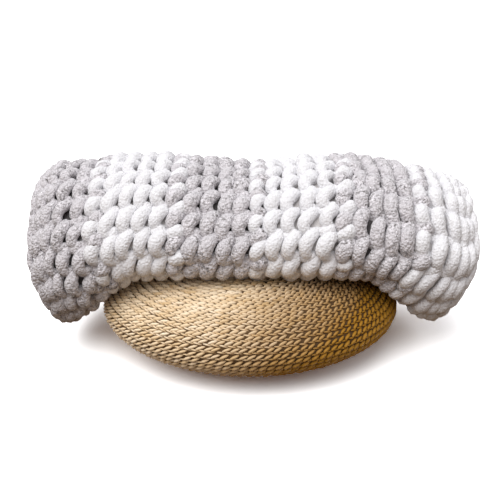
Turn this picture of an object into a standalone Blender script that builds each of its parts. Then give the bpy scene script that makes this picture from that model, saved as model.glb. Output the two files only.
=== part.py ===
"""Chunky knit blanket, folded in four and laid like a saddle over a low round woven pouf.

Metres, +Z up. The origin is the middle of the pouf's flat base, on the floor.
X runs across the knitted courses, from one colour band to the next. The outer fold of the
cloth faces -Y, and its free edges face +Y.
"""
import math

import bmesh
import bpy

# ---------------------------------------------------------------- driving sizes
POUF_RADIUS = 0.300
POUF_HEIGHT = 0.171
POUF_FLAT_RADIUS = 0.075      # flat disc of the base, and of the top
POUF_SIDE_STEPS = 20          # facets from the rim of the base up to the rim of the top
POUF_TURN_STEPS = 64

REST_GAP = 0.0003             # between the cloth and the top that it rests on
CLOTH_THICK = 0.040           # one layer of the knit
LAYERS = 4
LAYER_PITCH = 0.0465          # from one layer's middle to the next, where the pile lies level

COURSES = 30                  # knitted rows, from the left end to the right end
SECTIONS = 41                 # lofted sections, from the left end to the right end

OUTER_FOLD_STEPS = 12         # facets round the outer fold
SMALL_FOLD_STEPS = 6          # facets round each of the two small folds
LAYER_STEPS = 5               # facets along each layer
TOP_EDGE_SHORT = 0.050        # how far the top free edge stops short of the back fold
SECOND_EDGE_SHORT = 0.004     # the same, for the free edge of the second layer
CREST_Y = 0.020               # depth at which the pile is highest
CROWN = 0.050                 # how far its top falls away from there
FALL_REACH_FRONT = 0.18       # the depth over which it falls, to the front and to the back
FALL_REACH_BACK = 0.26
LEAN_BACK = 0.030             # how far the top of the pile leans to the back
LEAN_FROM = 0.2               # share of its height from which it leans
DRAW_BELOW = 1.5              # how sharply the bottom of a section draws in, and its top
DRAW_ABOVE = 2.0

RESTING = POUF_HEIGHT + REST_GAP

# One row for each place where the cloth changes shape, from the left end to the right end.
# course: the knitted row that the section follows
# x: where the section's outermost point lies
# low, high: height of the underside and of the top of the folded cloth
# front, back: how far the folded cloth reaches to -Y and to +Y
# nose: height of the outermost point, as a share of the way from low to high
# in_low, in_high: how far the middle of its bottom and its top draw in towards the middle
# slant: how far its bottom slides to the back
# hug: how closely its bottom bends round the pouf, from 0, straight, to 1
COLUMNS = (
    "course", "x", "low", "high", "front", "back", "nose", "in_low", "in_high", "slant", "hug",
)
STATIONS = (
    (0.0, -0.422, 0.036, 0.338, 0.136, 0.172, 0.60, 0.044, 0.008, 0.020, 1.0),
    (2.5, -0.388, 0.058, 0.364, 0.162, 0.182, 0.58, 0.049, 0.004, 0.022, 1.0),
    (5.0, -0.324, 0.116, 0.366, 0.176, 0.188, 0.55, 0.033, 0.000, 0.014, 1.0),
    (7.5, -0.242, 0.159, 0.379, 0.177, 0.190, 0.50, 0.010, 0.000, 0.004, 0.3),
    (10.0, -0.162, 0.1700, 0.380, 0.176, 0.192, 0.50, 0.000, 0.000, 0.000, 0.0),
    (12.5, -0.083, RESTING, 0.369, 0.175, 0.190, 0.50, 0.000, 0.000, 0.000, 0.0),
    (15.0, -0.004, RESTING, 0.364, 0.175, 0.188, 0.50, 0.000, 0.000, 0.000, 0.0),
    (17.5, 0.078, RESTING, 0.368, 0.176, 0.190, 0.50, 0.000, 0.000, 0.000, 0.0),
    (20.0, 0.166, 0.1700, 0.378, 0.178, 0.194, 0.50, 0.000, 0.000, 0.000, 0.0),
    (22.5, 0.248, 0.158, 0.372, 0.178, 0.193, 0.50, 0.010, 0.000, 0.006, 0.3),
    (25.0, 0.327, 0.116, 0.357, 0.176, 0.188, 0.56, 0.036, 0.000, 0.016, 1.0),
    (27.5, 0.396, 0.064, 0.341, 0.160, 0.178, 0.62, 0.064, 0.004, 0.032, 1.0),
    (30.0, 0.434, 0.036, 0.326, 0.132, 0.167, 0.66, 0.076, 0.014, 0.032, 1.0),
)
SLOPE_STEP = 0.5              # courses to either side that a section's slope is read from
STEEPEST = 0.5                # slope past which the cloth is squeezed and not thickened


# ---------------------------------------------------------------- how the cloth lies
def station_at(course):
    """The folded cloth's place at any course: each column is a smooth curve through its rows."""
    k = 0
    while k < len(STATIONS) - 2 and course > STATIONS[k + 1][0]:
        k += 1
    here, there = STATIONS[k], STATIONS[k + 1]
    before = STATIONS[max(k - 1, 0)]
    after = STATIONS[min(k + 2, len(STATIONS) - 1)]
    span = there[0] - here[0]
    t = (course - here[0]) / span
    station = {}
    for i, name in enumerate(COLUMNS):
        slope_here = (there[i] - before[i]) / (there[0] - before[0]) * span
        slope_there = (after[i] - here[i]) / (after[0] - here[0]) * span
        station[name] = (
            (2 * t**3 - 3 * t**2 + 1) * here[i] + (t**3 - 2 * t**2 + t) * slope_here
            + (3 * t**2 - 2 * t**3) * there[i] + (t**3 - t**2) * slope_there
        )
    return station


def inward(station):
    """The way along X that leads from a section to the middle."""
    return -1 if station["x"] > 0 else 1


def upright_thickness(course):
    """One layer's thickness measured straight up, at the bottom and at the top of the pile.

    It is CLOTH_THICK where the cloth lies level, and grows where it slopes down to an end."""
    left = station_at(max(course - SLOPE_STEP, 0.0))
    right = station_at(min(course + SLOPE_STEP, COURSES))
    thick = []
    for height, draw in (("low", "in_low"), ("high", "in_high")):
        left_x = left["x"] + inward(left) * left[draw]
        right_x = right["x"] + inward(right) * right[draw]
        slope = (right[height] - left[height]) / (right_x - left_x)
        thick.append(CLOTH_THICK * math.hypot(1.0, min(abs(slope), STEEPEST)))
    return thick


def place(station, y, z):
    """The point in space for a depth y and a height z in a section."""
    share = (z - station["low"]) / (station["high"] - station["low"])
    nose = station["nose"]
    below = max(0.0, (nose - share) / nose) ** DRAW_BELOW
    above = max(0.0, (share - nose) / (1 - nose)) ** DRAW_ABOVE
    bottom_draw = station["in_low"] + station["hug"] * y**2 / (2 * POUF_RADIUS)
    x = station["x"] + inward(station) * (bottom_draw * below + station["in_high"] * above)
    return (x, y + station["slant"] * below, z)


# ---------------------------------------------------------------- the folded section
def half_round(middle_y, reach, z_from, z_to, steps):
    """A fold's middle line: half an ellipse from z_from to z_to, without its two ends."""
    middle_z = (z_from + z_to) / 2
    rise = (z_from - z_to) / 2
    turns = [math.pi * i / steps for i in range(1, steps)]
    return [(middle_y + reach * math.sin(a), middle_z + rise * math.cos(a)) for a in turns]


def layer(y_from, y_to, z):
    """A flat layer's middle line."""
    return [(y_from + (y_to - y_from) * i / LAYER_STEPS, z) for i in range(LAYER_STEPS + 1)]


def crowned(station, y, z):
    """A point of the level pile, moved to where its soft top leans back and rounds off."""
    share = (z - station["low"]) / (station["high"] - station["low"])
    y += LEAN_BACK * max(0.0, (share - LEAN_FROM) / (1 - LEAN_FROM)) ** 2
    reach = FALL_REACH_FRONT if y < CREST_Y else FALL_REACH_BACK
    away = min(abs(y - CREST_Y) / reach, 1.0)
    return (y, z - CROWN * share * (1 - math.cos(math.pi * away)) / 2)


def fold_line(station, thick):
    """The cloth's middle line, from its top free edge round both halvings to its second one."""
    lowest = station["low"] + thick[0] / 2
    highest = station["high"] - thick[1] / 2
    pitch = (highest - lowest) / (LAYERS - 1)
    top, second, third, bottom = (highest - pitch * i for i in range(LAYERS))
    fold_reach = (LAYER_PITCH + pitch) / 2 * (LAYERS - 1) / 2
    small_reach = (LAYER_PITCH + pitch) / 4
    fold_y = fold_reach + CLOTH_THICK / 2 - station["front"]
    back_y = station["back"] - CLOTH_THICK / 2 - small_reach
    line = layer(station["back"] - TOP_EDGE_SHORT, fold_y, top)
    line += half_round(fold_y, -fold_reach, top, bottom, OUTER_FOLD_STEPS)
    line += layer(fold_y, back_y, bottom)
    line += half_round(back_y, small_reach, bottom, third, SMALL_FOLD_STEPS)
    line += layer(back_y, fold_y, third)
    line += half_round(fold_y, -small_reach, third, second, SMALL_FOLD_STEPS)
    line += layer(fold_y, station["back"] - SECOND_EDGE_SHORT, second)
    return line


def thickened(line, thick):
    """The closed outline of the cloth round its middle line."""
    left, right = [], []
    lowest = min(z for y, z in line)
    highest = max(z for y, z in line)
    for i, (y, z) in enumerate(line):
        y_in, z_in = line[max(i - 1, 0)]
        y_out, z_out = line[min(i + 1, len(line) - 1)]
        length = math.hypot(y_out - y_in, z_out - z_in)
        to_y = (z_out - z_in) / length * CLOTH_THICK / 2
        share = (z - lowest) / (highest - lowest)
        to_z = -(y_out - y_in) / length * (thick[0] + (thick[1] - thick[0]) * share) / 2
        left.append((y + to_y, z + to_z))
        right.append((y - to_y, z - to_z))
    return left + right[::-1]


# ---------------------------------------------------------------- pieces
def plain_material(name, colour, roughness):
    material = bpy.data.materials.new(name)
    material.use_nodes = True
    shader = material.node_tree.nodes["Principled BSDF"]
    shader.inputs["Base Color"].default_value = (*colour, 1.0)
    shader.inputs["Roughness"].default_value = roughness
    shader.inputs["Metallic"].default_value = 0.0
    return material


def add_object(name, mesh, material, collection):
    piece = bpy.data.objects.new(name, mesh)
    piece.data.materials.append(material)
    collection.objects.link(piece)
    return piece


def make_blanket(collection):
    """The folded cloth, lofted through its sections, each on one knitted course."""
    bm = bmesh.new()
    rings = []
    for i in range(SECTIONS):
        course = COURSES * i / (SECTIONS - 1)
        station = station_at(course)
        thick = upright_thickness(course)
        level = thickened(fold_line(station, thick), thick)
        outline = [crowned(station, y, z) for y, z in level]
        rings.append([bm.verts.new(place(station, y, z)) for y, z in outline])
    count = len(rings[0])
    for ring, following in zip(rings, rings[1:]):
        for i in range(count):
            j = (i + 1) % count
            bm.faces.new((ring[i], following[i], following[j], ring[j]))
    half = count // 2
    for ring in (rings[0], rings[-1]):
        for i in range(half - 1):
            quad = (ring[i], ring[i + 1], ring[count - 2 - i], ring[count - 1 - i])
            bm.faces.new(quad)
    bmesh.ops.recalc_face_normals(bm, faces=bm.faces[:])
    mesh = bpy.data.meshes.new("knit_blanket")
    bm.to_mesh(mesh)
    bm.free()
    mesh.shade_smooth()
    return add_object("knit_blanket", mesh, plain_material("knit", (0.78, 0.77, 0.79), 0.95), collection)


def make_pouf(collection):
    """The pouf: a flat base and top, joined by a side that is half an ellipse in profile."""
    bulge = POUF_RADIUS - POUF_FLAT_RADIUS
    half_height = POUF_HEIGHT / 2
    angles = [math.pi * (0.5 - i / POUF_SIDE_STEPS) for i in range(POUF_SIDE_STEPS + 1)]
    profile = [(0.0, POUF_HEIGHT)]
    profile += [
        (POUF_FLAT_RADIUS + bulge * math.cos(a), half_height + half_height * math.sin(a)) for a in angles
    ]
    profile.append((0.0, 0.0))
    mesh = bpy.data.meshes.new("woven_pouf")
    edges = [(i, i + 1) for i in range(len(profile) - 1)]
    mesh.from_pydata([(r, 0.0, z) for r, z in profile], edges, [])
    pouf = add_object("woven_pouf", mesh, plain_material("straw", (0.70, 0.52, 0.29), 0.7), collection)
    turn = pouf.modifiers.new("turn", "SCREW")
    turn.steps = POUF_TURN_STEPS
    turn.render_steps = POUF_TURN_STEPS
    turn.use_merge_vertices = True
    turn.merge_threshold = 0.0001
    return pouf


def main():
    for old in list(bpy.data.objects):
        bpy.data.objects.remove(old)
    collection = bpy.data.collections.new("knit_blanket_on_pouf")
    bpy.context.scene.collection.children.link(collection)
    make_pouf(collection)
    make_blanket(collection)


main()
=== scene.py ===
# %% [markdown]
# # A chunky knit blanket, folded over a woven pouf
#
# The real blanket is knitted from chenille tube yarn as thick as a thumb, in six bands of grey
# and white. It is folded in half twice and laid like a saddle over a low round pouf of braided
# straw. The solids fix where the cloth and the pouf are. This lesson knits the yarn along the
# folded cloth, stitch by stitch, and braids the straw round the pouf.
#
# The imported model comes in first, as a frame that is never moved. Its box is kept, so that the
# finished model can be compared with it at the end.

# %% Load the frame
import math

import bpy
import numpy as np
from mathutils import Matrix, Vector, noise


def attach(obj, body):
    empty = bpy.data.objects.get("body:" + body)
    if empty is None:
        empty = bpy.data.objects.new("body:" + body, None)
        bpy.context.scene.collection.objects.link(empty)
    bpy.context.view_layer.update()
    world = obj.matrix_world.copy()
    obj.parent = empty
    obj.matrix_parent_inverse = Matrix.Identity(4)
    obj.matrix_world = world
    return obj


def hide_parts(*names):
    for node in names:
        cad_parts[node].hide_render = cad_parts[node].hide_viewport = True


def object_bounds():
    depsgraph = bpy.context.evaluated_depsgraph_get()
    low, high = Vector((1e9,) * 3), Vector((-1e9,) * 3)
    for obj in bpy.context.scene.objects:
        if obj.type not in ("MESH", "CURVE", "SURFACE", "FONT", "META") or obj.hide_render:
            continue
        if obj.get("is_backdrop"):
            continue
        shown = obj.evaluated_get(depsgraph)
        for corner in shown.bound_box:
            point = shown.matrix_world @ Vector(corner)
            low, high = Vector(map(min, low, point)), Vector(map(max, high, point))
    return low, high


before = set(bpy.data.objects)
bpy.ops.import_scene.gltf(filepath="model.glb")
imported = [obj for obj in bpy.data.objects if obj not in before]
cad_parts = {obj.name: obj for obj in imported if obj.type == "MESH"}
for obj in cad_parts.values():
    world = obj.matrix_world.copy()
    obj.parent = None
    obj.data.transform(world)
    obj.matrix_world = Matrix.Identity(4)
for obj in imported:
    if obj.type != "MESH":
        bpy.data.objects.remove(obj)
cad_box = [list(corner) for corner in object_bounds()]
bpy.ops.object.select_all(action="DESELECT")
print("CAD box, metres:", [[round(value, 3) for value in corner] for corner in cad_box])

# %% [markdown]
# ## The camera
#
# The blanket is seen from the front and from a little above, through a long lens, so that its
# two ends look hardly wider than its middle. Making the camera first means that every piece can
# be checked from the same place while it is made.

# %% Put up the camera
AIM = Vector((0.0, 0.0, 0.192))
CAMERA_DISTANCE = 2.2
CAMERA_ELEVATION = math.radians(20)
LENS = 78

back_and_up = Vector((0.0, -math.cos(CAMERA_ELEVATION), math.sin(CAMERA_ELEVATION)))
bpy.ops.object.camera_add(
    location=AIM + back_and_up * CAMERA_DISTANCE,
    rotation=(math.pi / 2 - CAMERA_ELEVATION, 0.0, 0.0),
)
camera = bpy.context.object
camera.name = "front_camera"
camera.data.lens = LENS
bpy.context.scene.camera = camera
print("Camera at", [round(value, 3) for value in camera.location])

# %% [markdown]
# ## How the folded cloth lies
#
# A knitted blanket is a grid. Its **courses** are the rows that were knitted one after another,
# and here they run from the left end to the right end. Its **wales** are the columns of stitches
# across them, and here they run down over the folds.
#
# The table gives the folded cloth at thirteen courses, as the solid has it: how far out and how
# high it lies, how deep it is, and how its ends draw in. Between the rows a smooth curve is
# followed. Each section is one line that goes back and forth through the four layers.

# %% The sizes of the folded cloth
COURSES = 30
CLOTH_THICK = 0.040
LAYERS = 4
LAYER_PITCH = 0.0465
OUTER_FOLD_STEPS = 48
SMALL_FOLD_STEPS = 16
LAYER_STEPS = 24
TOP_EDGE_SHORT = 0.050   # how far the free edges of the top and the second layer stop short
SECOND_EDGE_SHORT = 0.004
CREST_Y = 0.020          # depth at which the pile is highest, and how far it falls from there
CROWN = 0.050
FALL_REACH_FRONT = 0.18
FALL_REACH_BACK = 0.26
LEAN_BACK = 0.030        # how far its top leans to the back
LEAN_FROM = 0.2          # share of its height from which it leans
SLOPE_STEP = 0.5         # courses to either side that a section's slope is read from
STEEPEST = 0.5           # slope past which the cloth is squeezed and not thickened
DRAW_BELOW = 1.5         # how sharply the bottom of a section draws in, and its top
DRAW_ABOVE = 2.0
POUF_RADIUS = 0.300
RESTING = 0.1713         # height of the cloth's underside, where it lies on the pouf
print("The cloth is", CLOTH_THICK * 1000, "mm thick and lies in", LAYERS, "layers")

# %% Read a section at any course
COLUMNS = (
    "course", "x", "low", "high", "front", "back", "nose", "in_low", "in_high", "slant", "hug",
)
STATIONS = np.array((
    (0.0, -0.422, 0.036, 0.338, 0.136, 0.172, 0.60, 0.044, 0.008, 0.020, 1.0),
    (2.5, -0.388, 0.058, 0.364, 0.162, 0.182, 0.58, 0.049, 0.004, 0.022, 1.0),
    (5.0, -0.324, 0.116, 0.366, 0.176, 0.188, 0.55, 0.033, 0.000, 0.014, 1.0),
    (7.5, -0.242, 0.159, 0.379, 0.177, 0.190, 0.50, 0.010, 0.000, 0.004, 0.3),
    (10.0, -0.162, 0.1700, 0.380, 0.176, 0.192, 0.50, 0.000, 0.000, 0.000, 0.0),
    (12.5, -0.083, RESTING, 0.369, 0.175, 0.190, 0.50, 0.000, 0.000, 0.000, 0.0),
    (15.0, -0.004, RESTING, 0.364, 0.175, 0.188, 0.50, 0.000, 0.000, 0.000, 0.0),
    (17.5, 0.078, RESTING, 0.368, 0.176, 0.190, 0.50, 0.000, 0.000, 0.000, 0.0),
    (20.0, 0.166, 0.1700, 0.378, 0.178, 0.194, 0.50, 0.000, 0.000, 0.000, 0.0),
    (22.5, 0.248, 0.158, 0.372, 0.178, 0.193, 0.50, 0.010, 0.000, 0.006, 0.3),
    (25.0, 0.327, 0.116, 0.357, 0.176, 0.188, 0.56, 0.036, 0.000, 0.016, 1.0),
    (27.5, 0.396, 0.064, 0.341, 0.160, 0.178, 0.62, 0.064, 0.004, 0.032, 1.0),
    (30.0, 0.434, 0.036, 0.326, 0.132, 0.167, 0.66, 0.076, 0.014, 0.032, 1.0),
))


def station_at(course):
    """The folded cloth's place at any course: each column is a smooth curve through its rows."""
    k = min(max(int(np.searchsorted(STATIONS[:, 0], course)) - 1, 0), len(STATIONS) - 2)
    here, there = STATIONS[k], STATIONS[k + 1]
    before, after = STATIONS[max(k - 1, 0)], STATIONS[min(k + 2, len(STATIONS) - 1)]
    span = there[0] - here[0]
    t = (course - here[0]) / span
    slope_here = (there - before) / (there[0] - before[0]) * span
    slope_there = (after - here) / (after[0] - here[0]) * span
    values = (2 * t**3 - 3 * t**2 + 1) * here + (t**3 - 2 * t**2 + t) * slope_here
    values = values + (3 * t**2 - 2 * t**3) * there + (t**3 - t**2) * slope_there
    return dict(zip(COLUMNS, values))


def inward(station):
    """The way along X that leads from a section to the middle."""
    return -1 if station["x"] > 0 else 1


def upright_thickness(course):
    """One layer's thickness measured straight up, at the bottom and the top of the pile."""
    left = station_at(max(course - SLOPE_STEP, 0.0))
    right = station_at(min(course + SLOPE_STEP, COURSES))
    thick = []
    for height, draw in (("low", "in_low"), ("high", "in_high")):
        run = right["x"] + inward(right) * right[draw] - left["x"] - inward(left) * left[draw]
        slope = (right[height] - left[height]) / run
        thick.append(CLOTH_THICK * math.hypot(1.0, min(abs(slope), STEEPEST)))
    return thick


print("Sections are given at courses", STATIONS[:, 0].tolist())

# %% Follow the cloth back and forth through its layers


def half_round(middle_y, reach, z_from, z_to, steps):
    """A fold's middle line: half an ellipse from z_from to z_to, without its two ends."""
    turn = np.pi * np.arange(1, steps) / steps
    z = (z_from + z_to) / 2 + (z_from - z_to) / 2 * np.cos(turn)
    return np.column_stack((middle_y + reach * np.sin(turn), z))


def flat_layer(y_from, y_to, z):
    """A flat layer's middle line."""
    y = np.linspace(y_from, y_to, LAYER_STEPS + 1)
    return np.column_stack((y, np.full_like(y, z)))


def crowned(station, y, z):
    """Points of the level pile, moved to where its soft top leans back and rounds off."""
    share = (z - station["low"]) / (station["high"] - station["low"])
    y = y + LEAN_BACK * np.maximum(0.0, (share - LEAN_FROM) / (1 - LEAN_FROM)) ** 2
    reach = np.where(y < CREST_Y, FALL_REACH_FRONT, FALL_REACH_BACK)
    away = np.minimum(np.abs(y - CREST_Y) / reach, 1.0)
    return y, z - CROWN * share * (1 - np.cos(np.pi * away)) / 2


def fold_line(course):
    """The middle line of one course in space, from the top free edge to the inner free edge."""
    station, thick = station_at(course), upright_thickness(course)
    lowest = station["low"] + thick[0] / 2
    highest = station["high"] - thick[1] / 2
    pitch = (highest - lowest) / (LAYERS - 1)
    top, second, third, bottom = (highest - pitch * i for i in range(LAYERS))
    fold_reach = (LAYER_PITCH + pitch) / 2 * (LAYERS - 1) / 2
    small_reach = (LAYER_PITCH + pitch) / 4
    fold_y = fold_reach + CLOTH_THICK / 2 - station["front"]
    back_y = station["back"] - CLOTH_THICK / 2 - small_reach
    y, z = np.vstack((
        flat_layer(station["back"] - TOP_EDGE_SHORT, fold_y, top),
        half_round(fold_y, -fold_reach, top, bottom, OUTER_FOLD_STEPS),
        flat_layer(fold_y, back_y, bottom),
        half_round(back_y, small_reach, bottom, third, SMALL_FOLD_STEPS),
        flat_layer(back_y, fold_y, third),
        half_round(fold_y, -small_reach, third, second, SMALL_FOLD_STEPS),
        flat_layer(fold_y, station["back"] - SECOND_EDGE_SHORT, second),
    )).T
    y, z = crowned(station, y, z)
    share = (z - station["low"]) / (station["high"] - station["low"])
    nose = station["nose"]
    below = np.maximum(0.0, (nose - share) / nose) ** DRAW_BELOW
    above = np.maximum(0.0, (share - nose) / (1 - nose)) ** DRAW_ABOVE
    bottom_draw = station["in_low"] + station["hug"] * y**2 / (2 * POUF_RADIUS)
    draw = bottom_draw * below + station["in_high"] * above
    x = station["x"] + inward(station) * draw
    return np.column_stack((x, y + station["slant"] * below, z))


middle_line = fold_line(COURSES / 2)
steps = np.linalg.norm(np.diff(middle_line, axis=0), axis=1)
print("The middle course is", round(float(steps.sum()), 3), "m long")

# %% [markdown]
# ## A map of the cloth
#
# Knitting is easy to write down on flat cloth and hard on folded cloth. So the folded surface
# is sampled once, as a grid of points and of directions that point out of it. `on_cloth` then
# takes any place on the flat blanket, given in courses, wales and a height above the cloth, and
# says where it is in space. Everything that is knitted goes through it.

# %% Sample the folded cloth
WALES = 29
GRID_PER_COURSE = 4
GRID_PER_WALE = 16
END_COURSES = 2.5        # courses at each end that are drawn in, so that the edge loops end
END_SQUEEZE = 0.80       # with the cloth
EDGE_INSET = (0.20, 0.60)  # wales kept free along the two free edges for the turns of the yarn
TAUT_COURSES = (18.0, 25.0)  # courses over which the cloth goes from slack to pulled taut
FRONT_WALE = 6.3         # where the front stitches are longest, and wales to either side
STRETCH_REACH = 5.15
STRETCH = (0.05, 0.36)   # how much longer they are there, slack and taut
SLIDE = (0.54, 0.95)     # wales by which the front hangs lower than even stitches would
SLIDE_STARTS = (0.0, 3.0)  # wales over which that sets in, and over which it dies away
SLIDE_ENDS = (12.0, 26.0)
BAND_COURSES = 5         # courses of one colour
BAND_EDGES = np.arange(0, COURSES + 1, BAND_COURSES)
# courses by which each band's edge lies further right than even courses would put it
BAND_EASE = (0.0, 0.3, 0.15, 0.05, -0.15, -0.45, 0.0)


def evenly_spaced(line, count):
    """The line again, as count points at even steps along it."""
    steps = np.linalg.norm(np.diff(line, axis=0), axis=1)
    run = np.concatenate(([0.0], np.cumsum(steps)))
    where = np.linspace(0.0, run[-1], count)
    return np.column_stack([np.interp(where, run, line[:, axis]) for axis in range(3)])


grid_courses = COURSES * GRID_PER_COURSE + 1
grid_wales = WALES * GRID_PER_WALE + 1
cloth_points = np.array([
    evenly_spaced(fold_line(k / GRID_PER_COURSE), grid_wales) for k in range(grid_courses)
])
along_courses = np.gradient(cloth_points, axis=0)
along_wales = np.gradient(cloth_points, axis=1)
cloth_out = np.cross(along_courses, along_wales)
cloth_out /= np.linalg.norm(cloth_out, axis=2, keepdims=True)
if cloth_out[grid_courses // 2, GRID_PER_WALE, 2] < 0:
    cloth_out = -cloth_out
course_pitch = np.linalg.norm(along_courses, axis=2) * GRID_PER_COURSE
wale_pitch = np.linalg.norm(along_wales, axis=2) * GRID_PER_WALE
print("One course is", round(float(np.median(course_pitch)) * 1000, 1), "mm wide and one wale",
      round(float(np.median(wale_pitch)) * 1000, 1), "mm")

# %% Read the map at any place


def read_grid(grid, course, wale):
    """The grid's value between its points."""
    row = np.clip(course * GRID_PER_COURSE, 0, grid_courses - 1)
    column = np.clip(wale * GRID_PER_WALE, 0, grid_wales - 1)
    i = np.minimum(row.astype(int), grid_courses - 2)
    j = np.minimum(column.astype(int), grid_wales - 2)
    s, t = row - i, column - j
    if grid.ndim == 3:
        s, t = s[:, None], t[:, None]
    near = grid[i, j] * (1 - t) + grid[i, j + 1] * t
    far = grid[i + 1, j] * (1 - t) + grid[i + 1, j + 1] * t
    return near * (1 - s) + far * s


def ramp(value, low, high):
    """A smooth step from 0 at low to 1 at high."""
    t = np.clip((value - low) / (high - low), 0.0, 1.0)
    return t * t * (3 - 2 * t)


def settle(course, wale):
    """Places on the knitted grid as places on the sampled cloth.

    The bands are eased along, the ends are drawn in, and the front stitches are pulled longer,
    most of all at the right."""
    taut = ramp(course, *TAUT_COURSES)
    stretch = STRETCH[0] + (STRETCH[1] - STRETCH[0]) * taut
    slide = SLIDE[0] + (SLIDE[1] - SLIDE[0]) * taut
    slide = slide * ramp(wale, *SLIDE_STARTS) * (1 - ramp(wale, *SLIDE_ENDS))
    from_front = np.clip((wale - FRONT_WALE) / STRETCH_REACH, -1.0, 1.0)
    wale = wale + slide + stretch * STRETCH_REACH / np.pi * np.sin(np.pi * from_front)
    course = course + np.interp(course, BAND_EDGES, BAND_EASE)
    middle = COURSES / 2
    beyond = np.maximum(np.abs(course - middle) - (middle - END_COURSES), 0.0)
    course = course - np.sign(course - middle) * beyond * (1 - END_SQUEEZE)
    return course, EDGE_INSET[0] + wale * (1 - sum(EDGE_INSET) / WALES)


def on_cloth(course, wale, out):
    """Points in space for courses, wales and heights above the cloth's middle, in metres."""
    course, wale = settle(course, wale)
    way_out = read_grid(cloth_out, course, wale)
    return read_grid(cloth_points, course, wale) + way_out * out[:, None]


corner = on_cloth(np.array([0.0]), np.array([0.0]), np.array([0.0]))[0]
print("The first stitch of the top edge is at", corner.round(3).tolist())

# %% [markdown]
# ## The yarn
#
# Every stitch is the same loop: the yarn comes up out of the row below, runs over in an arc,
# and goes back down. The blanket shows its purl side, where the arcs lie on top as fat ovals
# and the legs of the loops hide behind them. A formula gives this loop: a cosine swings the
# yarn between the two rows, and a second one at twice the speed lifts the arcs out of the cloth
# and sinks the legs.
#
# One colour band is one long yarn that turns round at the edge after every course. Nobody would
# draw its points by hand, so they are worked out, and a curve with a round bevel gives them
# their thickness. Down the front the folded cloth hangs by its own weight, so the ovals there are
# pulled longer and cover the arcs behind them. Hand knitting is never even, so each arc gets a
# small seeded change of place, height and thickness, each course slips a little past its
# neighbours, and the rows wander.

# %% The sizes of a stitch
POINTS_PER_WALE = 12
ROW_MIDDLE = 1.1          # courses from where a row starts to the middle of its arcs
ARC_REACH = 0.70          # courses from the middle of a row out to the top of an arc
ARC_WIDEN = 0.11          # wales by which every arc is widened at its top
FOOT_WIDEN = 0.14         # wales by which the feet, the arcs on top, are longer than the heads
FRONT_WIDEN = 0.11        # wales more than that over the front, where the cloth is pulled down
FRONT_SINK = 0.004        # how much deeper the heads lie there
FRONT_PLUMP = 0.05        # share by which the yarn swells there
FRONT_FROM = (2.7, 4.8)   # wales over which the front begins and ends
FRONT_TO = (8.6, 10.7)
NEW_COLOUR_WIDEN = 0.3    # share of that widening in the first course of a new colour, and in the
OLD_COLOUR_WIDEN = 0.6    # last one of the old, whose heads show between the new colour's feet
OLD_COLOUR_CROWN = 0.0085  # height of those heads
FOOT_CROWN = 0.0100       # height of the feet above the cloth's middle
HEAD_CROWN = 0.0020       # height of the heads, which lie behind the feet of the next row
ARC_FLATNESS = 0.8        # under 1, the arcs stay full up to their ends
LEG_DEPTH = 0.0080        # how far the legs sink below it
FOOT_RADIUS = 0.0177      # the yarn swells where nothing squeezes it
HEAD_RADIUS = 0.0160
LEG_RADIUS = 0.0118
SLACK_LEAN = -0.21        # courses that the arcs lean by, where the cloth is slack
TAUT_LEAN = (0.05, -0.16)  # the same where it is taut, above and below the front
LEAN_TURNS = (4.8, 7.0)   # wales over which the lean goes from the first to the second
print("A foot is", FOOT_RADIUS * 2000, "mm thick, and a leg", LEG_RADIUS * 2000, "mm")

# %% Make the knitting uneven
UNEVEN_COURSE = 0.060     # how uneven the arcs are: in courses, in wales, in metres, and a share
UNEVEN_WALE = 0.045
UNEVEN_ROW = 0.17         # wales by which a whole course slips past its neighbours
UNEVEN_HEIGHT = 0.0012
UNEVEN_RADIUS = 0.05
WANDER = 0.16             # courses, and WANDER_SCALE waves a course
WANDER_SCALE = 0.21
WANDER_SEEDS = (1.7, 8.3)  # across the courses and along them
rng = np.random.default_rng(21)


def arc_changes(size, wales):
    """A seeded change for every arc, joined by straight lines between the arcs."""
    knots = rng.normal(0.0, size, 2 * WALES + 1)
    return np.interp(wales, np.arange(2 * WALES + 1) / 2, knots)


def wander(course, wale, seed):
    """A slow drift of the rows, from -1 to 1."""
    return np.array([
        noise.noise(Vector((c * WANDER_SCALE, w * WANDER_SCALE, seed)))
        for c, w in zip(course, wale)
    ])


print("A course slips past the next by up to about", 2 * UNEVEN_ROW, "wales")

# %% The route of one course
PAST_EDGE = 0.1           # wales that the yarn may reach past the cloth's edge


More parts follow.
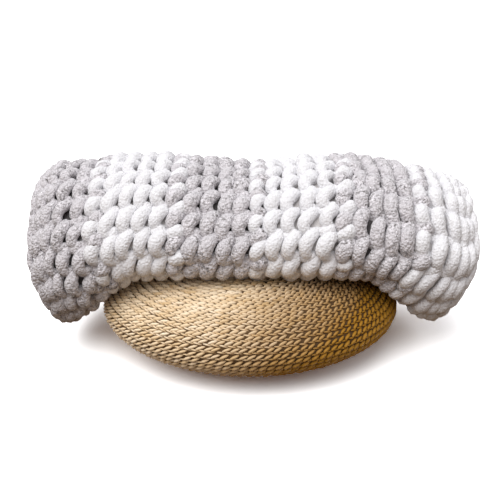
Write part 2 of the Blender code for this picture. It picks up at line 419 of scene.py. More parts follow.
def course_route(course):
    """One course's centre line: courses, wales, heights and radii of its points."""
    wales = np.arange(WALES * POINTS_PER_WALE + 1) / POINTS_PER_WALE
    angle = 2 * np.pi * wales
    foot = 0.5 + 0.5 * np.cos(angle)
    arc = (0.5 + 0.5 * np.cos(2 * angle)) ** ARC_FLATNESS
    taut = ramp(np.full_like(wales, course), *TAUT_COURSES)
    below = ramp(wales, *LEAN_TURNS)
    taut_lean = TAUT_LEAN[0] + (TAUT_LEAN[1] - TAUT_LEAN[0]) * below
    lean = SLACK_LEAN + (taut_lean - SLACK_LEAN) * taut
    across = course + ROW_MIDDLE - ARC_REACH * np.cos(angle) + lean * np.sin(2 * angle)
    front = ramp(wales, *FRONT_FROM) * (1 - ramp(wales, *FRONT_TO))
    foot_widen = FOOT_WIDEN + FRONT_WIDEN * front
    head_crown = HEAD_CROWN - FRONT_SINK * front
    head_radius = HEAD_RADIUS
    if 0 < course and course % BAND_COURSES == 0:
        foot_widen = foot_widen * NEW_COLOUR_WIDEN
    if course + 1 < COURSES and (course + 1) % BAND_COURSES == 0:
        foot_widen = foot_widen * OLD_COLOUR_WIDEN
        head_crown = OLD_COLOUR_CROWN
        head_radius = FOOT_RADIUS
    along = wales + ARC_WIDEN * np.sin(2 * angle) + foot_widen * np.sin(angle)
    crown = head_crown + (FOOT_CROWN - head_crown) * foot
    out = (crown + LEG_DEPTH) * arc - LEG_DEPTH
    arc_radius = head_radius + (FOOT_RADIUS - head_radius) * foot
    radius = LEG_RADIUS + (arc_radius - LEG_RADIUS) * arc
    across = across + arc_changes(UNEVEN_COURSE, wales)
    row_shift = rng.normal(0.0, UNEVEN_ROW) * np.sin(np.pi * wales / WALES)
    along = along + arc_changes(UNEVEN_WALE, wales) + row_shift
    out = out + arc_changes(UNEVEN_HEIGHT, wales)
    radius = radius * (1 + FRONT_PLUMP * front) * (1 + arc_changes(UNEVEN_RADIUS, wales))
    across = across + WANDER * wander(across, along, WANDER_SEEDS[0])
    along = along + WANDER * wander(across, along, WANDER_SEEDS[1])
    along = np.clip(along, -PAST_EDGE, WALES + PAST_EDGE)
    return np.column_stack((across, along, out, radius))


print("A course of", WALES, "stitches has", WALES * POINTS_PER_WALE + 1, "points")

# %% The route of one band
EDGE_TURN = 0.25          # wales that the yarn goes out past the last stitch to turn round
TURN_SHARES = (0.25, 0.5, 0.75)
TURN_SHAPE = (0.7, 1.0, 0.7)
TIP_SHAPE = (0.45, 0.80, 0.95)  # thickness of a yarn's last points, which are tucked in
TIP_TUCK = (0.010, 0.006, 0.002)


def turn_at_edge(last, first, sign):
    """The yarn's way round the edge, from the end of one course to the start of the next."""
    way = last + (first - last) * np.array(TURN_SHARES)[:, None]
    way[:, 1] += sign * EDGE_TURN * np.array(TURN_SHAPE)
    way[:, 2] -= LEG_DEPTH
    return way


def band_route(first_course, courses):
    """The whole yarn of one colour band, back and forth through its courses."""
    parts = []
    for k in range(courses):
        row = course_route(first_course + k)
        sign = 1 if k % 2 == 0 else -1
        row = row[::sign]
        if parts:
            parts.append(turn_at_edge(parts[-1][-1], row[0], -sign))
        parts.append(row)
    route = np.vstack(parts)
    for end in (slice(0, 3), slice(-1, -4, -1)):
        route[end, 3] *= TIP_SHAPE
        route[end, 2] -= TIP_TUCK
    return route


first_band = band_route(0, BAND_COURSES)
print("One band's yarn has", len(first_band), "points")

# %% [markdown]
# ## From a line to soft yarn
#
# The curve is turned into a mesh with six flat sides. Subdivision Surface rounds it, which keeps
# every stitch down to six dozen faces until the last moment. Chenille is never a smooth tube:
# its pile stands in little tufts, so two Displace modifiers push the surface in and out, once in
# soft swellings and once in tufts. Finer fibres are left to the material.

# %% Make lumps for the pile
SWELL_SIZE = 0.016
SWELL_HEIGHT = 0.0045
TUFT_SIZE = 0.0075
TUFT_HEIGHT = 0.0022

swell = bpy.data.textures.new("swell", "CLOUDS")
swell.noise_scale = SWELL_SIZE
tufts = bpy.data.textures.new("tufts", "VORONOI")
tufts.noise_scale = TUFT_SIZE
print("Pile lumps:", SWELL_SIZE * 1000, "and", TUFT_SIZE * 1000, "mm")

# %% Spin a route into yarn
YARN_SIDES = 6
SQUEEZED = 0.82           # the yarn's thickness where the rows crowd together


def push_surface(piece, texture, height):
    """Pushes a piece's surface in and out by a texture in space."""
    bumps = piece.modifiers.new(texture.name, "DISPLACE")
    bumps.texture = texture
    bumps.texture_coords = "LOCAL"
    bumps.strength = height
    bumps.mid_level = 0.5
    bpy.ops.object.modifier_apply(modifier=bumps.name)


def spin_yarn(name, routes, closed=False):
    """Yarn along each route of courses, wales, heights and radii, as one rounded mesh."""
    curve = bpy.data.curves.new(name, "CURVE")
    curve.dimensions = "3D"
    curve.bevel_depth = 1.0
    curve.bevel_resolution = (YARN_SIDES - 4) // 2
    curve.use_fill_caps = True
    for route in routes:
        points = on_cloth(route[:, 0], route[:, 1], route[:, 2])
        crowding = read_grid(course_pitch, *settle(route[:, 0], route[:, 1]))
        radii = route[:, 3] * np.clip(crowding / np.median(course_pitch), SQUEEZED, 1.0)
        spline = curve.splines.new("POLY")
        spline.points.add(len(points) - 1)
        spline.points.foreach_set("co", np.column_stack((points, np.ones(len(points)))).ravel())
        spline.points.foreach_set("radius", radii)
        spline.use_cyclic_u = closed
    yarn = bpy.data.objects.new(name, curve)
    bpy.context.collection.objects.link(yarn)
    bpy.ops.object.select_all(action="DESELECT")
    yarn.select_set(True)
    bpy.context.view_layer.objects.active = yarn
    bpy.ops.object.convert(target="MESH")
    rounding = yarn.modifiers.new("rounding", "SUBSURF")
    rounding.levels = rounding.render_levels = 1
    bpy.ops.object.modifier_apply(modifier=rounding.name)
    push_surface(yarn, swell, SWELL_HEIGHT)
    push_surface(yarn, tufts, TUFT_HEIGHT)
    bpy.ops.object.shade_smooth()
    return yarn


print("Where the rows crowd, the yarn is", SQUEEZED, "of its thickness")

# %% [markdown]
# ## The pile's two colours
#
# Chenille looks soft for two reasons. Light catches the tips of the pile at the edges, which a
# sheen gives. And between the fibres there are specks of shade, which a fine noise gives, over
# Voronoi cells that raise the pile in tufts. The grey yarn is heathered and rough, with dark
# specks. The white yarn is smoother, and its specks stay pale.

# %% Helpers that mix a finish


def add_node(material, kind, **inputs):
    """A node in the material, with values for its sockets by name."""
    node = material.node_tree.nodes.new(kind)
    for name, value in inputs.items():
        node.inputs[name.replace("_", " ")].default_value = value
    return node


def blend_colour(material, share, dark, light):
    """A node that goes from dark to light as share goes from 0 to 1."""
    mix = material.node_tree.nodes.new("ShaderNodeMix")
    mix.data_type = "RGBA"
    for socket, colour in (("A", dark), ("B", light)):
        entry = next(i for i in mix.inputs if i.name == socket and i.type == "RGBA")
        if isinstance(colour, tuple):
            entry.default_value = (*colour, 1.0)
        else:
            material.node_tree.links.new(colour, entry)
    material.node_tree.links.new(share, mix.inputs[0])
    return next(o for o in mix.outputs if o.type == "RGBA")


def from_to(material, value, low, high, to_low=0.0, to_high=1.0):
    """The value stretched so that low to high becomes to_low to to_high."""
    stretch = material.node_tree.nodes.new("ShaderNodeMapRange")
    for name, number in (
        ("From Min", low), ("From Max", high), ("To Min", to_low), ("To Max", to_high),
    ):
        stretch.inputs[name].default_value = number
    material.node_tree.links.new(value, stretch.inputs["Value"])
    return stretch.outputs["Result"]


print("Finishes are mixed with", add_node.__name__, blend_colour.__name__, from_to.__name__)

# %% Mix the yarn's finish
PILE_CELL = 0.0048        # how wide a tuft is in the material, a fibre, a speck and a pale patch
PILE_FIBRE = 0.0022
PILE_SPECK = 0.0060
PILE_PATCH = 0.022
SPECK_SHADE = (0.38, 0.56)  # where the specks' noise goes from the gaps' colour to the tips'
PATCH_SHADE = (0.35, 0.68)


def chenille(name, tip, gap, heather, tuft_depth, fibre_depth):
    """A pile of tufts: colour of the tips and of the gaps, and how rough the pile is."""
    material = bpy.data.materials.new(name)
    material.use_nodes = True
    nodes, links = material.node_tree.nodes, material.node_tree.links
    shader = nodes["Principled BSDF"]
    shader.inputs["Roughness"].default_value = 1.0
    shader.inputs["Specular IOR Level"].default_value = 0.1
    shader.inputs["Sheen Weight"].default_value = 0.35
    shader.inputs["Sheen Roughness"].default_value = 0.6
    place = nodes.new("ShaderNodeTexCoord").outputs["Object"]
    cells = add_node(material, "ShaderNodeTexVoronoi", Scale=1 / PILE_CELL, Randomness=1.0)
    fibres = add_node(material, "ShaderNodeTexNoise", Scale=1 / PILE_FIBRE, Detail=3.0)
    specks = add_node(
        material, "ShaderNodeTexNoise", Scale=1 / PILE_SPECK, Detail=4.0, Roughness=0.7,
    )
    patches = add_node(material, "ShaderNodeTexNoise", Scale=1 / PILE_PATCH, Detail=2.0)
    for texture in (cells, fibres, specks, patches):
        links.new(place, texture.inputs["Vector"])
    speckled = from_to(material, specks.outputs["Fac"], *SPECK_SHADE)
    pile = blend_colour(material, speckled, gap, tip)
    mottled = from_to(material, patches.outputs["Fac"], *PATCH_SHADE)
    links.new(blend_colour(material, mottled, heather, pile), shader.inputs["Base Color"])
    fibre_bump = add_node(material, "ShaderNodeBump", Strength=0.5, Distance=fibre_depth)
    links.new(fibres.outputs["Fac"], fibre_bump.inputs["Height"])
    tuft_bump = add_node(material, "ShaderNodeBump", Strength=0.8, Distance=tuft_depth)
    tuft_bump.invert = True
    links.new(cells.outputs["Distance"], tuft_bump.inputs["Height"])
    links.new(fibre_bump.outputs["Normal"], tuft_bump.inputs["Normal"])
    links.new(tuft_bump.outputs["Normal"], shader.inputs["Normal"])
    return material


white_yarn = chenille(
    "white_chenille",
    tip=(0.80, 0.795, 0.815), gap=(0.66, 0.64, 0.645), heather=(0.78, 0.77, 0.79),
    tuft_depth=0.0026, fibre_depth=0.0016,
)
grey_yarn = chenille(
    "grey_chenille",
    tip=(0.81, 0.775, 0.805), gap=(0.09, 0.075, 0.07), heather=(0.62, 0.59, 0.61),
    tuft_depth=0.0045, fibre_depth=0.0020,
)
print("Finishes:", white_yarn.name, grey_yarn.name)

# %% [markdown]
# ## Knit the six bands
#
# The bands have five courses each. Where two bands meet, the arcs of the old colour and of the
# new one take turns in one column, as they do in real knitting.

# %% Knit
BANDS = (
    ("far_left_grey", grey_yarn, "yarn_grey"),
    ("left_white", white_yarn, "yarn_white"),
    ("middle_grey", grey_yarn, "yarn_grey"),
    ("middle_white", white_yarn, "yarn_white"),
    ("right_grey", grey_yarn, "yarn_grey"),
    ("far_right_white", white_yarn, "yarn_white"),
)


def finish_piece(piece, material, slot):
    """Gives a knitted piece its finish and fixes it to the model."""
    piece.data.materials.clear()
    piece.data.materials.append(material)
    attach(piece, "root")
    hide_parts("knit_blanket")
    return piece


def triangles(piece):
    """How many triangles a mesh has."""
    return sum(len(face.vertices) - 2 for face in piece.data.polygons)


for i, (name, material, slot) in enumerate(BANDS):
    band = spin_yarn("knit_" + name, [band_route(i * BAND_COURSES, BAND_COURSES)])
    finish_piece(band, material, slot)
    print(band.name, triangles(band), "triangles")

# %% [markdown]
# ## The cloth behind the stitches
#
# Squeezed legs of yarn fill the inside of a real knit, so no daylight comes through it. Here a
# thin sheet stands for that packed inside. It lies on the same folds, just under the arcs. Its
# front has the shade that lies deep between stitches, and its back the pile's own grey, because
# at the two ends of the pile one looks onto the back of the cloth.

# %% Lay the inner sheet
SHEET_THICK = 0.003
SHEET_DEPTH = -0.004      # where it lies from the cloth's middle, in metres
SHEET_FROM = (-0.56, 0.3)  # course and wale of its first corner, and of its last one
SHEET_TO = (30.55, 28.7)
SHEET_STEPS = (60, 162)

sheet_courses = np.linspace(SHEET_FROM[0], SHEET_TO[0], SHEET_STEPS[0] + 1)
sheet_wales = np.linspace(SHEET_FROM[1], SHEET_TO[1], SHEET_STEPS[1] + 1)
at_course, at_wale = (a.ravel() for a in np.meshgrid(sheet_courses, sheet_wales, indexing="ij"))
corners = on_cloth(at_course, at_wale, np.full(at_course.shape, SHEET_DEPTH))
bpy.ops.mesh.primitive_grid_add(
    x_subdivisions=SHEET_STEPS[1], y_subdivisions=SHEET_STEPS[0], size=1.0, location=(0, 0, 0)
)
inner_sheet = bpy.context.object
inner_sheet.name = "inner_sheet"
inner_sheet.data.vertices.foreach_set("co", corners.ravel())
wall = inner_sheet.modifiers.new("wall", "SOLIDIFY")
wall.thickness = SHEET_THICK
bpy.ops.object.modifier_apply(modifier=wall.name)
bpy.ops.object.shade_smooth()
print("Inner sheet", triangles(inner_sheet), "triangles")

# %% Mark the inner sheet's bands and its back


def keep_number(piece, name, values):
    """Keeps one number for every point of a piece, for its material to read."""
    attribute = piece.data.attributes.new(name, "FLOAT", "POINT")
    attribute.data.foreach_set("value", values)


def read_number(material, name):
    """The socket that gives that number in the material."""
    attribute = material.node_tree.nodes.new("ShaderNodeAttribute")
    attribute.attribute_name = name
    return attribute.outputs["Fac"]


band_of_course = np.clip(at_course / BAND_COURSES, 0, len(BANDS) - 1).astype(int) % 2
keep_number(inner_sheet, "white_band", np.tile(band_of_course, 2).astype(float))
keep_number(inner_sheet, "back_side", np.repeat((0.0, 1.0), len(band_of_course)))
print("Inner sheet: white at", int(band_of_course.sum()), "of", len(band_of_course), "points")

# %% Mix the packed yarn and its painted shade
PACKED_GRAIN = 0.006
# painted shade: the front of the sheet, and the white bands' back, take the dark between stitches
GREY_PAINTED_SHADE = ((0.06, 0.055, 0.055), (0.14, 0.13, 0.13))  # each from its darkest to its lightest
WHITE_PAINTED_SHADE = ((0.60, 0.57, 0.56), (0.74, 0.71, 0.70))
GREY_BACK = ((0.18, 0.165, 0.165), (0.62, 0.595, 0.615))
BACK_SHADE = (0.38, 0.58)

packed_yarn_and_painted_shade = bpy.data.materials.new("packed_yarn_and_painted_shade")
packed_yarn_and_painted_shade.use_nodes = True
packed_shader = packed_yarn_and_painted_shade.node_tree.nodes["Principled BSDF"]
packed_shader.inputs["Roughness"].default_value = 1.0
packed_shader.inputs["Specular IOR Level"].default_value = 0.0
packed_fibres = add_node(
    packed_yarn_and_painted_shade, "ShaderNodeTexNoise", Scale=1 / PACKED_GRAIN, Detail=4.0, Roughness=0.7,
)
packed_place = packed_yarn_and_painted_shade.node_tree.nodes.new("ShaderNodeTexCoord").outputs["Object"]
packed_yarn_and_painted_shade.node_tree.links.new(packed_place, packed_fibres.inputs["Vector"])
packed_bump = add_node(packed_yarn_and_painted_shade, "ShaderNodeBump", Strength=0.7, Distance=0.004)
packed_yarn_and_painted_shade.node_tree.links.new(packed_fibres.outputs["Fac"], packed_bump.inputs["Height"])
packed_yarn_and_painted_shade.node_tree.links.new(packed_bump.outputs["Normal"], packed_shader.inputs["Normal"])
grey_painted_shade = blend_colour(packed_yarn_and_painted_shade, packed_fibres.outputs["Fac"], *GREY_PAINTED_SHADE)
white_painted_shade = blend_colour(packed_yarn_and_painted_shade, packed_fibres.outputs["Fac"], *WHITE_PAINTED_SHADE)
back_specks = from_to(packed_yarn_and_painted_shade, packed_fibres.outputs["Fac"], *BACK_SHADE)
grey_back = blend_colour(packed_yarn_and_painted_shade, back_specks, *GREY_BACK)
grey_sheet = blend_colour(packed_yarn_and_painted_shade, read_number(packed_yarn_and_painted_shade, "back_side"), grey_painted_shade, grey_back)
packed_yarn_and_painted_shade.node_tree.links.new(
    blend_colour(packed_yarn_and_painted_shade, read_number(packed_yarn_and_painted_shade, "white_band"), grey_sheet, white_painted_shade),
    packed_shader.inputs["Base Color"],
)
finish_piece(inner_sheet, packed_yarn_and_painted_shade, "yarn_grey")
print(inner_sheet.name, "is finished with", packed_yarn_and_painted_shade.name)

# %% [markdown]
# ## The two knitted ends
#
# The first row is cast on and the last one is bound off. Both make a chain of links along the
# end, each link pulled through the one before. One link is a long closed loop, and it is laid
# again for every wale.

# %% Link the chains
LINK_POINTS = 10
LINK_LENGTH = 0.72        # wales from a link's middle to its tip
LINK_HALF_WIDTH = 0.0120
LINK_RADIUS = 0.0110
LINK_TIP = 0.12           # courses by which a link's tip lies further out than its root
CHAIN_AT = {              # the course it lies at, its way out and the band that it ends
    "cast_on_chain": (-0.10, -1, "far_left_grey"),
    "bound_off_chain": (30.80, 1, "far_right_white"),
}


def chain_link(course, way_out, wale):
    """The route of one link."""
    turn = 2 * np.pi * np.arange(LINK_POINTS) / LINK_POINTS
    return np.column_stack((
        course + way_out * LINK_TIP * np.cos(turn),
        wale + LINK_LENGTH * np.cos(turn),
        LINK_HALF_WIDTH * np.sin(turn),
        np.full(LINK_POINTS, LINK_RADIUS),
    ))


yarn_of_band = {name: (material, slot) for name, material, slot in BANDS}
for name, (course, way_out, band_name) in CHAIN_AT.items():
    links_of_chain = [chain_link(course, way_out, wale + 0.5) for wale in range(WALES)]
    chain = spin_yarn(name, links_of_chain, closed=True)
    finish_piece(chain, *yarn_of_band[band_name])
    print(name, triangles(chain), "triangles")

# %% [markdown]
# ## The pouf
#
# A straw pouf is a long plait, wound in rings from the middle of the base to the middle of the
# top and stitched ring to ring. From outside every ring shows as a row of slanting straw
# bundles in pairs, like arrows that all point the same way, with a small dark hole between
# each pair.
#
# The rings are laid on the solid's own profile: a flat base, a side that is half an ellipse,
# and a flat top. A core a little inside it closes the holes, and its dark colour is painted
# shade.

# %% Trace the pouf's profile
POUF_HEIGHT = 0.171
POUF_FLAT_RADIUS = 0.075
PROFILE_STEPS = 400

bulge = POUF_RADIUS - POUF_FLAT_RADIUS
side_turn = np.pi * (np.arange(PROFILE_STEPS + 1) / PROFILE_STEPS - 0.5)
profile = np.vstack((
    (0.0, 0.0),
    np.column_stack((
        POUF_FLAT_RADIUS + bulge * np.cos(side_turn), POUF_HEIGHT / 2 * (1 + np.sin(side_turn)),
    )),
    (0.0, POUF_HEIGHT),
))
profile_run = np.concatenate((
    [0.0], np.cumsum(np.linalg.norm(np.diff(profile, axis=0), axis=1)),
))
PROFILE_LENGTH = float(profile_run[-1])
print("The pouf's profile is", round(PROFILE_LENGTH, 3), "m long")

# %% Map places on the pouf into space
SLOPE_READ = 0.004        # how far to either side the profile's slope is read


def profile_at(run):
    """Radius and height on the profile, a distance along it from the middle of the base."""
    return np.interp(run, profile_run, profile[:, 0]), np.interp(run, profile_run, profile[:, 1])


def on_pouf(run, angle, out):
    """Points in space; angle 0 is the front and grows to the right."""
    radius, height = profile_at(run)
    r_before, z_before = profile_at(run - SLOPE_READ)
    r_after, z_after = profile_at(run + SLOPE_READ)
    steep = np.hypot(r_after - r_before, z_after - z_before)
    radius = radius + out * (z_after - z_before) / steep
    height = height - out * (r_after - r_before) / steep
    return np.column_stack((radius * np.sin(angle), -radius * np.cos(angle), height))


rim_front = on_pouf(np.array([PROFILE_LENGTH / 2]), np.zeros(1), np.zeros(1))[0]
print("Front of the rim:", rim_front.round(3).tolist())

# %% Shape one pair of straw bundles
RING_PITCH = 0.0128       # from one ring to the next, and from one pair of bundles to the next
PAIR_PITCH = 0.0162
BUNDLE_SIDES = 6
BUNDLE_RINGS = 5
# The upper bundle of a pair slants and is plump; the lower one lies flatter, along the seam.
BUNDLES = (
    {"size": (0.0208, 0.0068, 0.0100), "tilt": 28.0, "place": (0.0085, 0.0016, 0.0000)},
    {"size": (0.0200, 0.0044, 0.0058), "tilt": -6.0, "place": (0.0000, -0.0042, -0.0006)},
)
DIP = 13.0                # degrees by which each bundle's far end dives under the next one
SINK = 0.0040             # how far the bundles' middle lies inside the profile


def straw_bundle(size, tilt, place):
    """One bundle as a plump grain of a length, width and thickness, laid slanting in its row."""
    length, width, thick = size
    bpy.ops.object.select_all(action="DESELECT")
    bpy.ops.mesh.primitive_uv_sphere_add(
        segments=BUNDLE_SIDES, ring_count=BUNDLE_RINGS, radius=0.5,
        rotation=(0.0, math.pi / 2, 0.0), scale=(thick, width, length),
    )
    bundle = bpy.context.object
    bpy.ops.object.transform_apply(location=True, rotation=True, scale=True)
    bundle.rotation_euler = (0.0, math.radians(DIP), math.radians(tilt))
    bundle.location = place
    bpy.ops.object.transform_apply(location=True, rotation=True, scale=True)
    return bundle


pair = [straw_bundle(**bundle) for bundle in BUNDLES]
for bundle in pair:
    bundle.select_set(True)
bpy.ops.object.join()
pair_mesh = bpy.context.object
pair_corners = np.array([corner.co[:] for corner in pair_mesh.data.vertices])
pair_faces = [tuple(face.vertices) for face in pair_mesh.data.polygons]
bpy.ops.object.delete()
print("A pair of bundles has", len(pair_faces), "faces")

# %% Wind the rings
FEWEST_PAIRS = 4
RING_WAVE = 0.0009        # how far a ring wavers, and how often on its way round
RING_WAVES = 7
PAIR_UNEVEN = 0.06        # share of its place that a pair is off by, and of its thickness
BUNDLE_SWELL = 0.08
RING_SHADE = 0.25         # how much the shade differs from ring to ring, and from pair to pair
PAIR_SHADE = 0.5
PRESSED_FLAT = 0.0003     # no straw of the base reaches lower than this


def wind_rings(name, first, last):
    """The rings from first up to last as one joined mesh of copied pairs."""
    corners, shades, lifts = [], [], []
    for ring in range(first, last):
        run = (ring + 0.5) * PROFILE_LENGTH / RINGS
        radius = profile_at(run)[0]
        pairs = max(round(2 * math.pi * float(radius) / PAIR_PITCH), FEWEST_PAIRS)
        start = rng.uniform(0.0, 1.0)
        ring_shade = rng.normal(0.0, RING_SHADE)
        for k in range(pairs):
            size = 1 + rng.normal(0.0, BUNDLE_SWELL)
            place = k + start + rng.normal(0.0, PAIR_UNEVEN)
            angle = 2 * np.pi * (place + pair_corners[:, 0] / PAIR_PITCH) / pairs
            wave = RING_WAVE * math.sin(RING_WAVES * 2 * math.pi * k / pairs + ring)
            across = run + wave + pair_corners[:, 1] * size
            straw = on_pouf(across, angle, pair_corners[:, 2] * size - SINK)
            straw[:, 2] = np.maximum(straw[:, 2], PRESSED_FLAT)
            corners.append(straw)
            shades.append(np.full(len(angle), ring_shade + rng.normal(0.0, PAIR_SHADE)))
            lifts.append(pair_corners[:, 2])
    count = len(pair_corners)
    faces = [
        tuple(corner + copy * count for corner in face)
        for copy in range(len(corners)) for face in pair_faces
    ]
    mesh = bpy.data.meshes.new(name)
    mesh.from_pydata(np.vstack(corners).tolist(), [], faces)
    piece = bpy.data.objects.new(name, mesh)
    bpy.context.collection.objects.link(piece)
    keep_number(piece, "straw_shade", np.concatenate(shades))
    keep_number(piece, "straw_lift", np.concatenate(lifts))
    mesh.shade_smooth()
    return piece


RINGS = round(PROFILE_LENGTH / RING_PITCH)
lower_braid = wind_rings("straw_braid_lower", 0, RINGS // 2)
upper_braid = wind_rings("straw_braid_upper", RINGS // 2, RINGS)
for braid in (lower_braid, upper_braid):
    print(braid.name, triangles(braid), "triangles")

# %% Close it with a core
CORE_DEPTH = 0.0050
CORE_STEPS = 48
CORE_TURN_STEPS = 96

core_run = np.linspace(0.0, PROFILE_LENGTH, CORE_STEPS + 1)
core_line = on_pouf(core_run, np.zeros_like(core_run), np.full_like(core_run, -CORE_DEPTH))
core_line[[0, -1], 1] = 0.0
bpy.ops.object.select_all(action="DESELECT")
bpy.ops.mesh.primitive_plane_add(size=1.0, location=(0, 0, 0))
core = bpy.context.object
core.name = "straw_core"
core.data.clear_geometry()
core.data.from_pydata(core_line.tolist(), [(i, i + 1) for i in range(CORE_STEPS)], [])
bpy.ops.object.mode_set(mode="EDIT")
bpy.ops.mesh.select_all(action="SELECT")
bpy.ops.mesh.spin(steps=CORE_TURN_STEPS, angle=2 * math.pi, center=(0, 0, 0), axis=(0, 0, 1))
bpy.ops.mesh.select_all(action="SELECT")
bpy.ops.mesh.remove_doubles(threshold=0.0001)
bpy.ops.mesh.normals_make_consistent(inside=False)
bpy.ops.object.mode_set(mode="OBJECT")
bpy.ops.object.shade_smooth()
print("Core", triangles(core), "triangles")

# %% [markdown]
# ## Straw
#
# Dried straw is smooth and a little shiny along its fibres. Its colour goes from pale cream to
# tan from one bundle to the next, so each bundle carries its own number for its shade. Painted
# shade deepens it to a golden brown towards the floor and to the right, away from the lamp, with
# soft clouds so that the change is never a straight line. And the sides of each bundle are
# painted with shade where they go down between their neighbours, so each point carries its
# height.

# %% Mix the straw
PALE_STRAW = (1.0, 0.86, 0.66)
TAN_STRAW = (0.80, 0.60, 0.36)
GOLDEN_STRAW = (0.46, 0.24, 0.045)
# painted shade: the straw goes golden brown towards the floor and to the right, away from the
# lamp
PAINTED_SHADE_STRAW = (0.32, 0.155, 0.017)
PAINTED_SHADE_SIDE = (0.85, 0.0, -1.6)   # the way in which the straw gets deeper in colour
PAINTED_SHADE_FROM_TO = (-0.32, -0.02)
SHADED_STRAW = (0.20, 0.10, 0.03)
SHADED_LIFT = (-0.0022, 0.0022)  # heights in a bundle over which the shade fades out
STRAW_SHADES = (-1.2, 1.2)  # the bundles' numbers at which straw is tan, and at which it is pale
CLOUD_SIZE = 0.16
CLOUD_SHIFT = (0.3, 0.7, -0.03, 0.03)  # the noise's range, and how far it moves the deep colour
STRAW_FIBRE = 0.0014
FIBRE_SHARE = (0.3, 0.7, 0.0, 0.25)  # the noise's range, and the share of golden straw it adds


def straw_material(name):
    """Bundles of dried straw in mixed shades."""
    material = bpy.data.materials.new(name)
    material.use_nodes = True
    nodes, links = material.node_tree.nodes, material.node_tree.links
    shader = nodes["Principled BSDF"]
    shader.inputs["Roughness"].default_value = 0.42
    shader.inputs["Specular IOR Level"].default_value = 0.08
    place = nodes.new("ShaderNodeTexCoord").outputs["Object"]
    clouds = add_node(material, "ShaderNodeTexNoise", Scale=1 / CLOUD_SIZE, Detail=2.0)
    fibres = add_node(material, "ShaderNodeTexNoise", Scale=1 / STRAW_FIBRE, Detail=3.0)
    links.new(place, clouds.inputs["Vector"])
    links.new(place, fibres.inputs["Vector"])
    shade = from_to(material, read_number(material, "straw_shade"), *STRAW_SHADES)
    plain = blend_colour(material, shade, TAN_STRAW, PALE_STRAW)
    toward = nodes.new("ShaderNodeVectorMath")
    toward.operation = "DOT_PRODUCT"
    toward.inputs[1].default_value = PAINTED_SHADE_SIDE
    links.new(place, toward.inputs[0])
    cloudy = nodes.new("ShaderNodeMath")
    cloudy.operation = "ADD"
    links.new(toward.outputs["Value"], cloudy.inputs[0])
    links.new(from_to(material, clouds.outputs["Fac"], *CLOUD_SHIFT), cloudy.inputs[1])
    deep = from_to(material, cloudy.outputs["Value"], *PAINTED_SHADE_FROM_TO)
    mixed = blend_colour(material, deep, plain, PAINTED_SHADE_STRAW)
    fine = from_to(material, fibres.outputs["Fac"], *FIBRE_SHARE)
    grained = blend_colour(material, fine, mixed, GOLDEN_STRAW)
    lift = from_to(material, read_number(material, "straw_lift"), *SHADED_LIFT)
    links.new(blend_colour(material, lift, SHADED_STRAW, grained), shader.inputs["Base Color"])
    bump = add_node(material, "ShaderNodeBump", Strength=0.5, Distance=0.0006)
    links.new(fibres.outputs["Fac"], bump.inputs["Height"])
    links.new(bump.outputs["Normal"], shader.inputs["Normal"])
    return material


straw = straw_material("braided_straw_finish")
print("Finish:", straw.name)

# %% Mix the core's shade and finish the pouf
CORE_GRAIN = 0.004
# painted shade: the core's straw is as dark as the holes between the bundles look
CORE_STRAW = ((0.07, 0.035, 0.01), (0.090, 0.045, 0.012))  # from its darkest to its lightest

core_finish = bpy.data.materials.new("shaded_straw")
core_finish.use_nodes = True
core_shader = core_finish.node_tree.nodes["Principled BSDF"]
core_shader.inputs["Roughness"].default_value = 0.9
core_grain = add_node(core_finish, "ShaderNodeTexNoise", Scale=1 / CORE_GRAIN, Detail=2.0)
core_finish.node_tree.links.new(
    core_finish.node_tree.nodes.new("ShaderNodeTexCoord").outputs["Object"],
    core_grain.inputs["Vector"],
)
core_finish.node_tree.links.new(
    blend_colour(core_finish, core_grain.outputs["Fac"], *CORE_STRAW),
    core_shader.inputs["Base Color"],
)
for piece, material in ((lower_braid, straw), (upper_braid, straw), (core, core_finish)):
    piece.data.materials.clear()
    piece.data.materials.append(material)
    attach(piece, "root")
    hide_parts("woven_pouf")
print("Straw finish on", lower_braid.name, upper_braid.name, core.name)

# %% [markdown]
# ## Floor and light
#
# A plain white floor runs on behind the pouf and out of sight. One very wide lamp stands high in
# front and a little to the left, so that every stitch has a bright side and soft shade on the
# other. The sky is white overhead and dims down to the horizon, as under a soft box, and below
# the horizon it is a dim warm brown. The floor is kept out of the light that bounces up, as if
# dark card lay round the set, and this gives the undersides their depth.

# %% Lay the floor
FLOOR_SIZE = 400.0
FLOOR_WHITE = (1.7, 1.7, 1.7, 1.0)

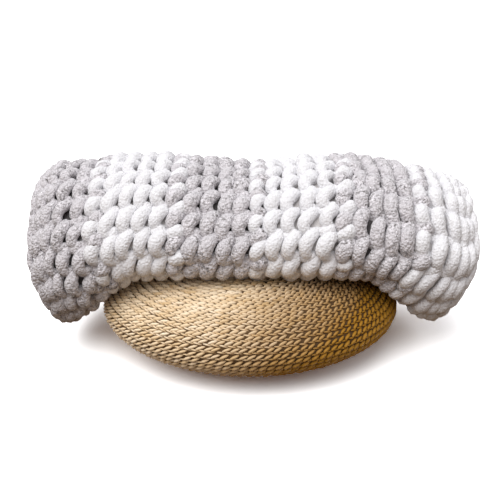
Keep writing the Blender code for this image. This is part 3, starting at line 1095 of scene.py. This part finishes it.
bpy.ops.object.select_all(action="DESELECT")
bpy.ops.mesh.primitive_plane_add(size=FLOOR_SIZE, location=(0, 0, 0))
floor = bpy.context.object
floor.name = "studio_floor"
floor.visible_diffuse = False
floor_paint = bpy.data.materials.new("white_floor")
floor_paint.use_nodes = True
floor_nodes = floor_paint.node_tree.nodes
matt_white = add_node(floor_paint, "ShaderNodeBsdfDiffuse", Color=FLOOR_WHITE)
floor_paint.node_tree.links.new(matt_white.outputs[0], floor_nodes["Material Output"].inputs[0])
floor_nodes.remove(floor_nodes["Principled BSDF"])
floor.data.materials.append(floor_paint)
floor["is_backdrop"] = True
print("Floor:", floor.name)

# %% Light the set
LAMP_FROM = Vector((-0.32, -0.45, 0.83))
LAMP_POWER = 2.4
LAMP_WIDTH = math.radians(60)
SKY = (0.80, 0.80, 0.82)
SKY_FULL_FROM = 0.45      # height of the view, from 0 at the horizon, at which the sky is white
DARK_CARD = (0.16, 0.10, 0.055)

bpy.ops.object.light_add(type="SUN", rotation=LAMP_FROM.to_track_quat("Z", "Y").to_euler())
lamp = bpy.context.object
lamp.name = "wide_lamp"
lamp.data.energy = LAMP_POWER
lamp.data.angle = LAMP_WIDTH
surround = bpy.data.worlds.new("surround")
surround.use_nodes = True
sky_nodes, sky_links = surround.node_tree.nodes, surround.node_tree.links
height = sky_nodes.new("ShaderNodeSeparateXYZ")
sky_links.new(sky_nodes.new("ShaderNodeTexCoord").outputs["Generated"], height.inputs[0])
horizon = sky_nodes.new("ShaderNodeValToRGB")
horizon.color_ramp.elements[0].position = 0.0
horizon.color_ramp.elements[0].color = (*DARK_CARD, 1.0)
horizon.color_ramp.elements[1].position = SKY_FULL_FROM
horizon.color_ramp.elements[1].color = (*SKY, 1.0)
sky_links.new(height.outputs["Z"], horizon.inputs["Fac"])
sky_links.new(horizon.outputs["Color"], sky_nodes["Background"].inputs["Color"])
bpy.context.scene.world = surround
bpy.context.scene.view_settings.view_transform = "Standard"
print("Lamp power", LAMP_POWER, "from", [round(value, 2) for value in LAMP_FROM])

# %% [markdown]
# ## Compare the sizes and finish
#
# The finished model has to fill the same space as the solids. Both boxes are taken, and how far
# the model grew past the solids is printed.

# %% Write the sizes down
visual_box = [list(corner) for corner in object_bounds()]
for axis, low, high, cad_low, cad_high in zip("XYZ", *visual_box, *cad_box):
    grown = [round((cad_low - low) * 1000, 1), round((high - cad_high) * 1000, 1)]
    print(axis, "grew by", grown, "mm, at its low and its high side")
